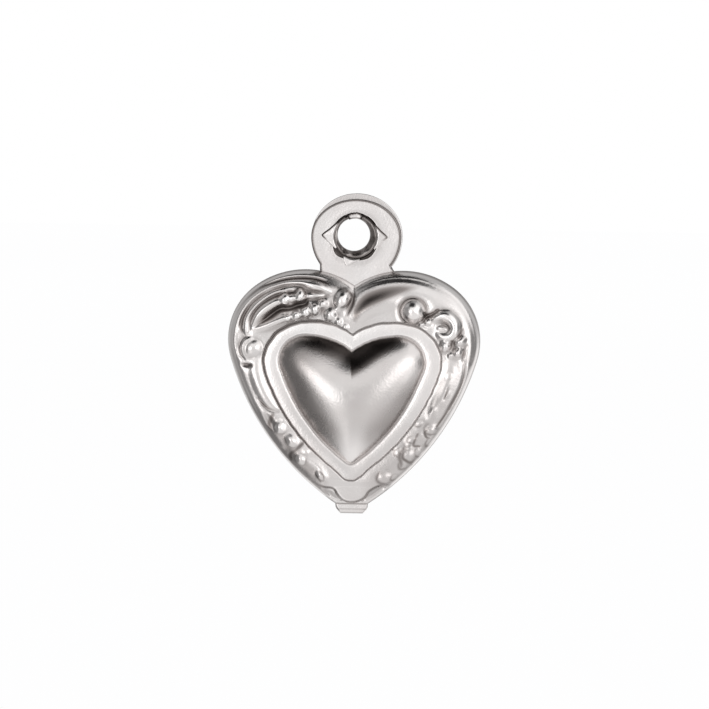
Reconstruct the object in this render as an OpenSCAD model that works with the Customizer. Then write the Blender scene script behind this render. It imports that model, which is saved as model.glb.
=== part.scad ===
// Heart drop charm: a hollow puffed heart folded from one thin stamped sheet, with a ring tab.
// Millimetres. The origin is the centre of the ring hole, +Z is up, and the front faces -Y.
// The two halves of the fold meet on the plane y = 0, and the back half is the front turned round.

/* [Heart edge] */
// Distance of each lobe's centre from the centre line
edge_lobe_x = 3; // [2.8:0.05:3.2]
// How far the lobes' centres are below the ring hole's centre
edge_lobe_drop = 5.16; // [5:0.02:5.3]
// Radius round the outside of a lobe
edge_lobe_r = 3.3; // [3.1:0.05:3.5]
// Radius of the flatter top of a lobe
edge_top_r = 4.25; // [4:0.05:4.6]
// Angle above the horizontal where the lobe's top begins
edge_top_angle = 53; // [45:1:60]
// Radius of a side
edge_side_r = 13.2; // [12:0.1:14]
// Angle below the horizontal where the side begins
edge_side_angle = 16.5; // [14:0.5:19]

/* [Heart step, where the border drops to the channel] */
// Distance of each lobe's centre from the centre line
step_lobe_x = 2.33; // [2.2:0.01:2.45]
// How far the lobes' centres are below the ring hole's centre
step_lobe_drop = 6.43; // [6.3:0.01:6.6]
// Radius round the outside of a lobe
step_lobe_r = 2.08; // [1.95:0.01:2.2]
// Radius of the flatter top of a lobe
step_top_r = 3.4; // [3.1:0.05:3.7]
// Angle above the horizontal where the lobe's top begins
step_top_angle = 74; // [68:1:80]
// Radius of a side
step_side_r = 8.6; // [8:0.1:9.4]
// Angle below the horizontal where the side begins
step_side_angle = 16.8; // [14:0.2:19]

/* [Heart dome, the puffed middle] */
// Distance of each lobe's centre from the centre line
dome_lobe_x = 2.32; // [2.2:0.01:2.45]
// How far the lobes' centres are below the ring hole's centre
dome_lobe_drop = 6.28; // [6.15:0.01:6.4]
// Radius round the outside of a lobe
dome_lobe_r = 1.39; // [1.3:0.01:1.5]
// Radius of the flatter top of a lobe
dome_top_r = 3.85; // [3.5:0.05:4.2]
// Angle above the horizontal where the lobe's top begins
dome_top_angle = 90; // [84:1:90]
// Radius of a side
dome_side_r = 8.1; // [7.7:0.1:8.8]
// Angle below the horizontal where the side begins
dome_side_angle = 15; // [13:0.5:18]

/* [Relief] */
// Thickness of the sheet
sheet = 0.25; // [0.2:0.01:0.3]
// Height of the crease above the rim wall, over the fold plane
crease_h = 0.8; // [0.7:0.05:0.9]
// Height of the border's crown
border_h = 1.2; // [1.1:0.05:1.4]
// Height of the flat channel
channel_h = 0.85; // [0.75:0.05:0.95]
// Height of the dome's peak
dome_h = 2.1; // [1.8:0.05:2.4]

/* [Ring tab] */
// Radius of the ring hole
hole_r = 0.875; // [0.8:0.005:0.9]
// Outer radius of the drawn collar round the hole
collar_r = 1.05; // [1.03:0.01:1.08]
// Radius of the pierced hole in the front leaf, which the collar comes through
pierced_r = 1.2; // [1.15:0.01:1.25]
// Radius of the front leaf
front_leaf_r = 2.24; // [2.1:0.02:2.3]
// How far the front leaf's centre is below the ring hole's centre
front_leaf_drop = 0.36; // [0.3:0.02:0.4]
// Radius of the back leaf, which shows as a thin crescent above the front one
back_leaf_r = 2.3; // [2.2:0.02:2.35]
// How far the back leaf's centre is below the ring hole's centre
back_leaf_drop = 0.13; // [0.08:0.01:0.2]
// Half the width of the neck under the ring tab
neck_half_w = 1.85; // [1.7:0.01:1.9]
// Radius in the corner between the neck and a lobe
neck_fillet_r = 0.3; // [0.2:0.05:0.35]

/* [Clinch] */
// Thickness of a petal of the torn collar, pressed flat on the front leaf
petal_t = 0.15; // [0.1:0.01:0.2]
// Distance of the left petal's tip from the hole's centre
left_petal_reach = 1.72; // [1.4:0.02:1.8]
// Distance of the right petal's tip from the hole's centre
right_petal_reach = 1.66; // [1.4:0.02:1.8]
// Distance of the top petal's tip from the hole's centre
top_petal_reach = 1.3; // [1.25:0.01:1.5]
// Distance of the bottom petal's tip from the hole's centre
bottom_petal_reach = 1.4; // [1.25:0.01:1.6]
// Half the angle that the root of the left or the right petal covers
side_petal_half_angle = 50; // [40:1:52]
// Half the angle that the root of the top or the bottom petal covers
end_petal_half_angle = 33; // [26:1:36]

/* [Fold strip] */
// Half the width of the strip at the heart's tip, where both halves leave it
strip_half_w = 0.8; // [0.6:0.02:0.9]
// Half the width of the strip at the fold
fold_half_w = 0.55; // [0.45:0.01:0.6]
// How far the strip hangs below the cut tip
strip_drop = 0.5; // [0.45:0.01:0.6]

/* [Hidden] */

$fn = 48;
silver = [0.80, 0.79, 0.78];

// Steps along half of a heart line: lobe top, lobe, side and tip
TOP_STEPS = 4;
LOBE_STEPS = 9;
SIDE_STEPS = 8;
TIP_STEPS = 2;
HALF_STEPS = TOP_STEPS + LOBE_STEPS + SIDE_STEPS + TIP_STEPS;
RING_POINTS = 2 * HALF_STEPS;

// The point, on the centre line, that the dome's rings close in on
dome_centre = [0, -7.4];
// Half the width of the rounded tip of the step line and of the dome line
inner_tip_half_w = 0.3;
// The drop in the wall of the strip, where it is still flat
strip_flat = strip_drop - sheet;
// Length of a cutter that passes right through the ring tab
through = 4;
// Distance from the hole's centre at which a petal starts to narrow
petal_root_r = 1.1;
// Half the width of a petal's blunted tip, and how far behind the tip it is reached
petal_tip_half_w = 0.12;
petal_tip_l = 0.08;

function along(a) = [cos(a), sin(a)];
function arc(c, r, from, to, steps) =
    [for (i = [0 : steps - 1]) c + r * along(from + (to - from) * i / steps)];
function blend(p, q, t) = (1 - t) * p + t * q;

// The right half of a heart line, from the cleft to just short of the tip, then the tip.
// A positive rounding curves the tip below the sides' ends, and none cuts it off flat.
function right_half(x, drop, r, top_r, top_angle, side_r, side_angle, tip_x, rounded) =
    let (lobe_c = [x, -drop],
         top_c = lobe_c + (r - top_r) * along(top_angle),
         side_c = lobe_c + (r - side_r) * along(-side_angle),
         cleft_angle = acos(-top_c.x / top_r),
         tip_angle = -acos((tip_x - side_c.x) / side_r),
         end = side_c + side_r * along(tip_angle),
         slope = rounded ? -1 / tan(tip_angle) : 0)
    concat(arc(top_c, top_r, cleft_angle, top_angle, TOP_STEPS),
           arc(lobe_c, r, top_angle, -side_angle, LOBE_STEPS),
           arc(side_c, side_r, -side_angle, tip_angle, SIDE_STEPS),
           [for (i = [0 : TIP_STEPS])
               let (s = 1 - i / TIP_STEPS)
               [end.x * s, end.y - slope * tip_x / 2 * (1 - s * s)]]);

function whole(half) =
    concat(half, [for (i = [HALF_STEPS - 1 : -1 : 1]) [-half[i].x, half[i].y]]);

edge_line = whole(right_half(edge_lobe_x, edge_lobe_drop, edge_lobe_r, edge_top_r, edge_top_angle,
                             edge_side_r, edge_side_angle, strip_half_w, false));
step_line = whole(right_half(step_lobe_x, step_lobe_drop, step_lobe_r, step_top_r, step_top_angle,
                             step_side_r, step_side_angle, inner_tip_half_w, true));
dome_line = whole(right_half(dome_lobe_x, dome_lobe_drop, dome_lobe_r, dome_top_r, dome_top_angle,
                             dome_side_r, dome_side_angle, inner_tip_half_w, true));
cut_tip_z = edge_line[HALF_STEPS].y;
lobe_top_z = max([for (p = edge_line) p.y]);

// Where ring u lies: 0 is the heart's edge, 1 the step, 2 the dome's foot and 3 its centre
function ring(u) =
    [for (i = [0 : RING_POINTS - 1])
        u <= 1 ? blend(edge_line[i], step_line[i], u) :
        u <= 2 ? blend(step_line[i], dome_line[i], u - 1) :
                 blend(dome_line[i], dome_centre, u - 2)];

// The dome swells steeply from its foot and flattens towards its peak
DOME_RINGS = [0.05, 0.14, 0.27, 0.43, 0.6, 0.8];
function dome_rise(t) = channel_h + (dome_h - channel_h) * pow(1 - pow(1 - t, 2), 0.6);

// Rows of [ring, height] over the outside, from the fold plane to the peak
outer_rows = concat(
    [[0, 0], [0, sheet], [0.1, 0.55 * crease_h + 0.05], [0.24, crease_h],
     [0.34, 0.9 * border_h], [0.52, border_h], [0.72, 0.97 * border_h], [0.93, 0.87 * border_h],
     [1, channel_h], [2, channel_h]],
    [for (t = DOME_RINGS) [2 + t, dome_rise(t)]]);

// The inside follows it one sheet lower, from the peak back to the fold plane
inner_rows = concat(
    [for (i = [len(DOME_RINGS) - 1 : -1 : 0])
        [2.06 + 0.94 * DOME_RINGS[i], dome_rise(DOME_RINGS[i]) - sheet]],
    [[2.06, channel_h - sheet], [1.06, channel_h - sheet], [0.86, 0.86 * border_h - sheet],
     [0.62, border_h - sheet], [0.42, 0.9 * border_h - sheet], [0.3, crease_h - sheet],
     [0.16, sheet], [0.16, 0]]);

rows = concat(outer_rows, inner_rows);

module shell_half() {
    n = RING_POINTS;
    last = len(rows) - 1;
    outer_peak = len(rows) * n;
    inner_peak = outer_peak + 1;
    points = concat(
        [for (row = rows) each [for (p = ring(row[0])) [p.x, -row[1], p.y]]],
        [[dome_centre.x, -dome_h, dome_centre.y], [dome_centre.x, sheet - dome_h, dome_centre.y]]);
    // Two triangles for each patch between one row and the next
    function strip(a, b) =
        [for (i = [0 : n - 1])
            let (j = (i + 1) % n)
            each [[a * n + i, b * n + j, a * n + j], [a * n + i, b * n + i, b * n + j]]];
    function fan(a, peak, flip) =
        [for (i = [0 : n - 1])
            let (j = (i + 1) % n)
            flip ? [a * n + j, a * n + i, peak] : [a * n + i, a * n + j, peak]];
    top = len(outer_rows) - 1;
    faces = concat(
        [for (a = [0 : top - 1]) each strip(a, a + 1)],
        fan(top, outer_peak, true),
        fan(top + 1, inner_peak, false),
        [for (a = [top + 1 : last - 1]) each strip(a, a + 1)],
        strip(last, 0));
    polyhedron(points = points, faces = faces, convexity = 8);
}

module front_shell() {
    color(silver) shell_half();
}

module back_shell() {
    color(silver) rotate([0, 0, 180]) shell_half();
}

// Stands a flat outline, drawn in x and z, up between y = from_y and y = from_y - thickness
module upright(from_y, thickness) {
    translate([0, from_y, 0]) rotate([90, 0, 0]) linear_extrude(thickness) children();
}

module round_bore(r, length) {
    rotate([90, 0, 0]) cylinder(r = r, h = length, center = true);
}

// One leaf of the ring tab: a disc whose neck fills the cleft between the lobes
module leaf(from_y, disc_r, disc_drop, opening_r) {
    neck_top_z = -disc_drop - disc_r / 2;
    neck_foot_z = edge_line[0].y - sheet;
    corner_x = neck_half_w + neck_fillet_r;
    corner_z = lobe_top_z + neck_fillet_r - 0.05;
    difference() {
        union() {
            upright(from_y, sheet) translate([0, -disc_drop]) circle(r = disc_r);
            upright(from_y, sheet)
                polygon([[-neck_half_w, neck_top_z], [neck_half_w, neck_top_z],
                         [neck_half_w, neck_foot_z], [-neck_half_w, neck_foot_z]]);
            for (side = [-1, 1])
                difference() {
                    upright(from_y, sheet)
                        polygon([[side * neck_half_w, corner_z], [side * corner_x, corner_z],
                                 [side * corner_x, neck_foot_z], [side * neck_half_w, neck_foot_z]]);
                    translate([side * corner_x, 0, corner_z]) round_bore(neck_fillet_r, through);
                }
        }
        upright(through / 2, through) polygon(edge_line);
        round_bore(opening_r, through);
    }
}

module front_eye() {
    color(silver) leaf(0, front_leaf_r, front_leaf_drop, pierced_r);
}

module back_eye() {
    color(silver) leaf(sheet, back_leaf_r, back_leaf_drop, collar_r);
}

// The collar is drawn out of the back leaf and lines the hole through both leaves, and its rolled
// mouth stands as high as the petals
module clinch_collar() {
    color(silver)
    difference() {
        translate([0, sheet, 0]) rotate([90, 0, 0]) cylinder(r = collar_r, h = 2 * sheet + petal_t);
        round_bore(hole_r, through);
    }
}

// One torn petal of the collar, folded over the front leaf; direction is its angle from +X
module petal(direction, reach, half_angle) {
    color(silver)
    difference() {
        upright(-sheet, petal_t)
            rotate(direction)
            polygon([[0, 0], petal_root_r * along(-half_angle),
                     [reach - petal_tip_l, -petal_tip_half_w], [reach, 0],
                     [reach - petal_tip_l, petal_tip_half_w], petal_root_r * along(half_angle)]);
        round_bore(collar_r, through);
    }
}

module petal_left() {
    petal(180, left_petal_reach, side_petal_half_angle);
}

module petal_right() {
    petal(0, right_petal_reach, side_petal_half_angle);
}

module petal_top() {
    petal(90, top_petal_reach, end_petal_half_angle);
}

module petal_bottom() {
    petal(-90, bottom_petal_reach, end_petal_half_angle);
}

// The strip that joins the halves, doubled flat on itself below the tip
module fold_strip() {
    top_z = cut_tip_z;
    bottom_z = cut_tip_z - strip_drop;
    chamfer = strip_half_w - fold_half_w;
    color(silver)
    intersection() {
        union() {
            translate([-strip_half_w, -sheet, top_z - strip_flat])
                cube([2 * strip_half_w, 2 * sheet, strip_flat]);
            translate([0, 0, top_z - strip_flat])
                rotate([0, 90, 0]) cylinder(r = sheet, h = 2 * strip_half_w, center = true);
        }
        upright(through / 2, through)
            polygon([[-strip_half_w, top_z], [strip_half_w, top_z],
                     [strip_half_w, bottom_z + chamfer], [fold_half_w, bottom_z],
                     [-fold_half_w, bottom_z], [-strip_half_w, bottom_z + chamfer]]);
    }
}

front_shell();
back_shell();
front_eye();
back_eye();
fold_strip();
clinch_collar();
petal_left();
petal_right();
petal_top();
petal_bottom();
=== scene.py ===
"""Looks of the heart drop charm: stamped relief, clinched ring tab and silver plate.

Lengths are in millimetres in the charm's own frame, x to the right and z up, with the ring hole's
centre at the origin and the front facing -y. MM turns them into metres where meshes are made.
"""

import math

import bpy
import numpy as np
from mathutils import Matrix, Vector


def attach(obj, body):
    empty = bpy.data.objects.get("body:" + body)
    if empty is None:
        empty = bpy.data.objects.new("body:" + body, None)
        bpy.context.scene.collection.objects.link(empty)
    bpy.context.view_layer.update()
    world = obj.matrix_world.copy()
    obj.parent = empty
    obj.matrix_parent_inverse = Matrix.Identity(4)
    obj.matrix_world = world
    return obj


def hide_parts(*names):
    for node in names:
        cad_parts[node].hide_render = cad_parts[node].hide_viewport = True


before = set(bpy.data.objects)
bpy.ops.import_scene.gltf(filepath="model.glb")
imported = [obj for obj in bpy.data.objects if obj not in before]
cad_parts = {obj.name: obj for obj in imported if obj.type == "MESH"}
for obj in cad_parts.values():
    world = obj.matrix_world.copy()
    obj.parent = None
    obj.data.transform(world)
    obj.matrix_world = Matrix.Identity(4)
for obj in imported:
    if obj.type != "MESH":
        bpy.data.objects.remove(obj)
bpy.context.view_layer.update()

MM = 0.001
BODY = "root"


# ---------------------------------------------------------------- camera
# A long lens, nearly square to the front. The charm hangs a little turned in its own plane.
VIEW_WIDTH = 35.45
LENS = 200.0
SENSOR = 36.0
ELEVATION = math.radians(2.5)
AZIMUTH = math.radians(3.5)
TURN = math.radians(0.85)
VIEW_CENTRE = Vector((0.03, 0.0, -5.89)) * MM


def make_camera():
    data = bpy.data.cameras.new("camera")
    data.lens = LENS
    data.sensor_width = SENSOR
    data.clip_start = 0.001
    data.clip_end = 10.0
    distance = VIEW_WIDTH * MM * LENS / SENSOR
    level = math.cos(ELEVATION)
    back = Vector((math.sin(AZIMUTH) * level, -math.cos(AZIMUTH) * level, math.sin(ELEVATION)))
    camera = bpy.data.objects.new("camera", data)
    camera.location = VIEW_CENTRE + back * distance
    camera.rotation_mode = "QUATERNION"
    roll = Matrix.Rotation(TURN, 4, "Z").to_quaternion()
    camera.rotation_quaternion = (-back).to_track_quat("-Z", "Y") @ roll
    bpy.context.collection.objects.link(camera)
    bpy.context.scene.camera = camera


make_camera()


# ---------------------------------------------------------------- heart lines
# Points along half of a heart line: the lobe's top, the lobe, the side and the tip
TOP, LOBE, SIDE, TIP = 132, 99, 228, 21
HALF = TOP + LOBE + SIDE + TIP
AROUND = 2 * HALF


def along(angle):
    return np.array([math.cos(angle), math.sin(angle)])


def arc(centre, r, start, stop, steps):
    angles = start + (stop - start) * np.arange(steps) / steps
    return centre + r * np.stack([np.cos(angles), np.sin(angles)], axis=1)


def heart_line(lobe_x, drop, lobe_r, top_r, top_deg, side_r, side_deg, tip_x, rounded):
    """A closed heart of arcs, from the cleft down the right side to the tip and back up the left."""
    top_angle, side_angle = math.radians(top_deg), -math.radians(side_deg)
    lobe_c = np.array([lobe_x, -drop])
    top_c = lobe_c + (lobe_r - top_r) * along(top_angle)
    side_c = lobe_c + (lobe_r - side_r) * along(side_angle)
    cleft_angle = math.acos(-top_c[0] / top_r)
    tip_angle = -math.acos((tip_x - side_c[0]) / side_r)
    end = side_c + side_r * along(tip_angle)
    slope = -1 / math.tan(tip_angle) if rounded else 0.0
    s = 1 - np.arange(TIP + 1) / TIP
    tip = np.stack([end[0] * s, end[1] - slope * tip_x / 2 * (1 - s * s)], axis=1)
    right = np.concatenate([
        arc(top_c, top_r, cleft_angle, top_angle, TOP),
        arc(lobe_c, lobe_r, top_angle, side_angle, LOBE),
        arc(side_c, side_r, side_angle, tip_angle, SIDE),
        tip,
    ])
    left = right[HALF - 1:0:-1] * np.array([-1, 1])
    return np.concatenate([right, left])


def smoothstep(low, high, x):
    t = np.clip((x - low) / (high - low), 0, 1)
    return t * t * (3 - 2 * t)


def drawn_in(line, waist, lobe):
    """A line whose lower sides are drawn in by waist, and whose right lobe bulges by lobe."""
    d = np.roll(line, -1, 0) - np.roll(line, 1, 0)
    out = np.stack([-d[:, 1], d[:, 0]], 1) / np.hypot(*d.T)[:, None]
    x, z = line.T
    low = smoothstep(-6.0, -7.2, z) * smoothstep(-12.1, -11.5, z)
    top = smoothstep(2.4, 3.4, x) * smoothstep(-6.4, -5.6, z)
    return line - out * (waist * low - lobe * top)[:, None]


def waver(seed, amount):
    """Small smooth offsets round a line."""
    rng = np.random.default_rng(seed)
    t = 2 * np.pi * np.arange(AROUND) / AROUND
    waves = range(9, 46, 3)
    return amount * np.stack([
        sum(rng.normal(0, 1) * np.sin(k * t + rng.uniform(0, 6)) for k in waves) / 3
        for _ in range(2)
    ], axis=1)


EDGE = heart_line(3.0, 5.16, 3.3, 4.25, 53, 13.2, 16.5, 0.8, False)
STEP = heart_line(2.33, 6.43, 2.08, 3.4, 74, 10.0, 20.9, 0.3, True)
DOME = heart_line(2.32, 6.28, 1.39, 3.85, 90, 9.4, 18.5, 0.3, True)
# the stamp's middle sits a little to the left, and its lines waver as a hand-cut die's do
STEP = drawn_in(STEP, 0.1, 0.05) + waver(1, 0.009) - [0.02, 0]
DOME = drawn_in(DOME, 0.06, 0.0) + waver(2, 0.005) - [0.04, 0]


def blend(p, q, t):
    return (1 - t) * p + t * q


# ---------------------------------------------------------------- ornament
def curve_through(rows, step=0.08):
    """A smooth curve through rows that start with x and z, as rows about one step apart."""
    rows = np.asarray(rows, float)
    if len(rows) == 2:
        n = max(2, int(np.hypot(*(rows[1] - rows[0])[:2]) / step) + 1)
        t = np.linspace(0, 1, n)[:, None]
        return rows[0] * (1 - t) + rows[1] * t
    ends = np.concatenate([[2 * rows[0] - rows[1]], rows, [2 * rows[-1] - rows[-2]]])
    out = []
    for p0, p1, p2, p3 in zip(ends, ends[1:], ends[2:], ends[3:]):
        n = max(2, int(np.hypot(*(p2 - p1)[:2]) / step) + 1)
        t = (np.arange(n) / n)[:, None]
        a, b, c = 2 * p1, p2 - p0, 2 * p0 - 5 * p1 + 4 * p2 - p3
        out.append(0.5 * (a + b * t + c * t ** 2 + (3 * p1 - p0 - 3 * p2 + p3) * t ** 3))
    out.append(rows[-1:])
    return np.concatenate(out)


# How height falls off from a stroke's centre line, q = 0, to its edge, q = 1
PROFILES = {
    "round": lambda q: np.sqrt(np.clip(1 - q * q, 0, 1)),
    "soft": lambda q: np.clip(1 - q * q, 0, 1) ** 2,
    "roof": lambda q: np.clip(1 - q, 0, 1),
}


class Relief:
    """Heights of the ornament over the plain border, on a fine square grid.

    Strokes are rows of (x, z, half width, height), and they and the beads are given in hundredths
    of a millimetre. A stroke of painted shade has its darkness, in hundredths, in place of a
    height. The grid itself is in millimetres.
    """

    FINE = 100
    PITCH = 0.02
    X0, X1, Z0, Z1 = -6.6, 6.6, -13.9, -1.4
    LUMPY_BELOW = 0.31
    DARKEST = 1.3

    def __init__(self):
        self.x = np.arange(self.X0, self.X1, self.PITCH)
        self.z = np.arange(self.Z0, self.Z1, self.PITCH)
        self.h = np.zeros((len(self.z), len(self.x)))
        self.shade_strokes = np.zeros_like(self.h)

    def window(self, xs, zs, margin):
        i0, i1 = np.searchsorted(self.x, [min(xs) - margin, max(xs) + margin])
        j0, j1 = np.searchsorted(self.z, [min(zs) - margin, max(zs) + margin])
        return (slice(j0, j1), slice(i0, i1)), *np.meshgrid(self.x[i0:i1], self.z[j0:j1])

    def field(self, rows, profile):
        """A stroke's height over its window: the highest of its short straight pieces."""
        path = curve_through(np.array(rows, float) / self.FINE)
        where, gx, gz = self.window(path[:, 0], path[:, 1], path[:, 2].max() + 0.05)
        best = np.zeros_like(gx)
        shape = PROFILES[profile]
        for a, b in zip(path, path[1:]):
            d = b[:2] - a[:2]
            t = ((gx - a[0]) * d[0] + (gz - a[1]) * d[1]) / max(d @ d, 1e-9)
            t = np.clip(t, 0, 1)
            off = np.hypot(gx - a[0] - t * d[0], gz - a[1] - t * d[1])
            width = np.maximum(a[2] + (b[2] - a[2]) * t, 1e-3)
            height = a[3] + (b[3] - a[3]) * t
            best = np.maximum(best, height * shape(off / width))
        return where, best

    def ridge(self, *rows, profile="round"):
        where, f = self.field(rows, profile)
        # its foot runs out softly into a groove beside it
        share = np.clip(3 * f / f.max(), 0, 1)
        self.h[where] = blend(self.h[where], np.maximum(self.h[where], f), share)

    def swell(self, *rows, profile="soft"):
        where, f = self.field(rows, profile)
        self.h[where] += f

    def groove(self, *rows, profile="soft"):
        where, f = self.field(rows, profile)
        self.h[where] -= f

    def paint_shade(self, *rows):
        """Paints shade along a stroke into the metal's colour, and leaves its height alone."""
        where, f = self.field(rows, "soft")
        self.shade_strokes[where] = np.maximum(self.shade_strokes[where], f)

    def bead(self, x, z, r, height, long=None, turn=0, floor=0.0, ring=0.15):
        """A boss, oval where long is given, with a shallow dark ring round its foot.

        Small ones are a little lumpy. The ring is painted shade, darkest at the lower left.
        """
        x, z, r, height, long, floor = (v / self.FINE for v in (x, z, r, height, long or r, floor))
        where, gx, gz = self.window([x], [z], long + 0.15)
        c, s = math.cos(math.radians(turn)), math.sin(math.radians(turn))
        u = ((gx - x) * c + (gz - z) * s) / long
        v = (-(gx - x) * s + (gz - z) * c) / r
        way = np.arctan2(gz - z, gx - x)
        lumps = 0.06 * np.sin(3 * way + 5 * x) + 0.04 * np.sin(5 * way + 7 * z)
        q = np.hypot(u, v) * (1 + lumps * (r < self.LUMPY_BELOW))
        moat = 0.035 * np.exp(-((q - 1.1) / 0.16) ** 2)
        self.h[where] -= moat * (q > 0.9)
        lower_side = 0.2 + 0.8 * (0.5 - 0.5 * np.cos(way - 0.7)) ** 1.5
        dark = ring * lower_side * np.exp(-((q - 1.06) / 0.26) ** 2)
        self.shade_strokes[where] = np.maximum(self.shade_strokes[where] * (q > 1), dark)
        dome = np.where(q < 1, floor + height * np.clip(1 - q * q, 0, 1) ** 0.75, -9)
        self.h[where] = np.maximum(self.h[where], dome)

    def smooth(self, sigma):
        """Rounds every edge as stamping and plating do."""
        radius = int(3 * sigma / self.PITCH) + 1
        k = np.exp(-0.5 * (np.arange(-radius, radius + 1) * self.PITCH / sigma) ** 2)
        k /= k.sum()
        for axis in (0, 1):
            padded = np.pad(self.h, [(radius, radius) if a == axis else (0, 0) for a in (0, 1)])
            n = self.h.shape[axis]
            self.h = sum(
                w * np.take(padded, range(i, i + n), axis=axis) for i, w in enumerate(k)
            )

    def paint_crease_shade(self, gain):
        """Paints shade into the creases: 0 in the open, about 1 in a crease, and at least the painted
        shade strokes.
        """
        height = self.h
        self.smooth(0.16)
        around = self.h
        self.h = np.clip((around - height - 0.01) * gain / 0.1, 0, self.DARKEST)
        self.smooth(0.03)
        self.hollow, self.h = np.maximum(self.h, self.shade_strokes), height

    def at(self, points, values=None):
        """Heights at points, or other values of the grid's, between the grid's own."""
        fx = np.clip((points[:, 0] - self.X0) / self.PITCH, 0, len(self.x) - 1.001)
        fz = np.clip((points[:, 1] - self.Z0) / self.PITCH, 0, len(self.z) - 1.001)
        i, j = fx.astype(int), fz.astype(int)
        u, v = fx - i, fz - j
        h = self.h if values is None else values
        return ((h[j, i] * (1 - u) + h[j, i + 1] * u) * (1 - v)
                + (h[j + 1, i] * (1 - u) + h[j + 1, i + 1] * u) * v)


def left_lobe(r):
    """Three long leaves with beads along them, curling down from the cleft."""
    # crease inside the rim
    r.groove((-100, -280, 6, 2), (-130, -240, 10, 10), (-180, -218, 11, 14), (-260, -210, 11, 16),
             (-360, -220, 11, 16), (-460, -257, 10, 14), (-510, -293, 10, 12), (-555, -338, 9, 8),
             (-590, -395, 8, 4))
    # outer leaf
    r.ridge((-110, -277, 5, 4), (-146, -258, 20, 13), (-197, -242, 24, 17), (-257, -228, 14, 14),
            (-322, -232, 11, 12), (-391, -251, 12, 13), (-456, -282, 13, 14), (-510, -323, 14, 14),
            (-550, -371, 14, 13), (-576, -419, 13, 12), (-590, -480, 12, 11), (-592, -544, 11, 10),
            (-576, -604, 8, 5))
    r.groove((-250, -245, 5, 4), (-332, -245, 10, 16), (-386, -258, 11, 18), (-431, -276, 11, 18),
             (-476, -306, 11, 18), (-510, -336, 11, 17), (-535, -370, 11, 16), (-554, -412, 10, 14),
             (-558, -460, 10, 12), (-540, -505, 8, 6))
    # thin middle rib
    r.ridge((-330, -270, 5, 3), (-370, -276, 8, 7), (-421, -298, 8, 8), (-475, -340, 8, 8),
            (-514, -385, 8, 8), (-533, -428, 8, 7), (-533, -485, 7, 4))
    r.groove((-300, -275, 6, 8), (-340, -284, 8, 12), (-380, -293, 8, 13), (-425, -318, 8, 14),
             (-468, -350, 8, 13), (-497, -384, 7, 12), (-514, -425, 7, 10), (-518, -480, 6, 5))
    # inner leaf, widening from a beaded stalk
    r.ridge((-245, -286, 10, 8), (-291, -300, 14, 14), (-340, -316, 18, 18), (-390, -333, 22, 20),
            (-435, -360, 24, 20), (-468, -390, 20, 18), (-490, -425, 13, 12), (-505, -460, 6, 4))
    r.bead(-264, -297, 28, 19, long=33, turn=70, floor=10)
    r.bead(-306, -308, 20, 10, floor=12)
    r.bead(-342, -314, 26, 13, long=30, turn=70, floor=14)
    # deep pointed gap under it
    r.groove((-474, -447, 3, 3), (-430, -412, 14, 20), (-392, -380, 21, 26), (-360, -362, 22, 27),
             (-320, -360, 17, 20), (-275, -344, 19, 24), (-242, -336, 18, 22), (-225, -316, 9, 14),
             (-195, -315, 8, 12), (-145, -302, 8, 12), (-108, -288, 8, 8))
    # sliver of a leaf between the gap and the outer leaf
    r.ridge((-235, -302, 4, 3), (-195, -292, 10, 10), (-155, -296, 7, 5))
    r.groove((-240, -278, 5, 6), (-200, -272, 6, 12), (-160, -276, 6, 12), (-120, -286, 6, 8))
    # lowest leaf, beaded towards the cleft
    r.ridge((-510, -472, 10, 2), (-450, -454, 24, 12), (-390, -430, 28, 16), (-345, -412, 26, 15),
            (-310, -400, 22, 12), (-260, -384, 22, 10), (-220, -364, 20, 10),
            (-170, -336, 16, 8), profile="soft")
    r.bead(-280, -395, 24, 13, floor=6)
    r.bead(-324, -408, 19, 8, floor=10)
    r.bead(-236, -376, 26, 13, long=30, turn=110, floor=6)
    r.bead(-190, -362, 24, 13, long=30, turn=100, floor=4)
    r.bead(-150, -334, 24, 13, floor=2)


def cleft_cluster(r):
    """Bosses to the left of the cleft, and the valley between them and the right-hand ribbon."""
    r.bead(-54, -310, 36, 17, long=48, turn=62, floor=8)
    r.bead(-113, -388, 31, 20, long=36, turn=90)
    r.bead(-72, -424, 19, 17, long=23, turn=110)
    r.bead(-38, -450, 17, 14, long=20, turn=60)
    r.bead(-78, -362, 15, 10)
    r.groove((2, -275, 8, 10), (-1, -300, 10, 16), (-13, -335, 11, 18), (-30, -370, 10, 14),
             (-40, -400, 7, 5), profile="roof")
    # a painted dark reflection down the valley, darkest by the cleft
    r.paint_shade((-140, -242, 14, 30), (-80, -254, 12, 50), (-30, -270, 10, 70), (-4, -295, 11, 130),
            (-2, -330, 15, 150), (-16, -370, 13, 110), (-30, -400, 10, 40))


def left_side(r):
    """A boss in a curl, then a smooth ribbon with a swallow tail."""
    r.groove((-505, -498, 6, 6), (-542, -512, 8, 14), (-562, -548, 8, 15), (-562, -588, 8, 14),
             (-540, -620, 7, 10))
    r.ridge((-500, -512, 7, 5), (-533, -522, 11, 14), (-549, -550, 12, 16), (-548, -582, 11, 14),
            (-530, -608, 8, 6))
    r.bead(-496, -562, 40, 14, long=46, turn=30)
    # painted shade in the groove under the curl
    r.paint_shade((-545, -644, 14, 70), (-524, -647, 17, 110), (-502, -648, 14, 70))
    r.groove((-542, -644, 12, 16), (-505, -648, 13, 18))
    r.ridge((-475, -600, 20, 1), (-478, -660, 46, 7), (-466, -720, 50, 9), (-440, -780, 48, 9),
            (-405, -835, 40, 7), (-375, -875, 28, 3), profile="soft")
    r.groove((-475, -805, 6, 6), (-445, -842, 12, 14), (-412, -866, 13, 16), (-372, -876, 10, 14),
             (-350, -872, 6, 10))


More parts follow.
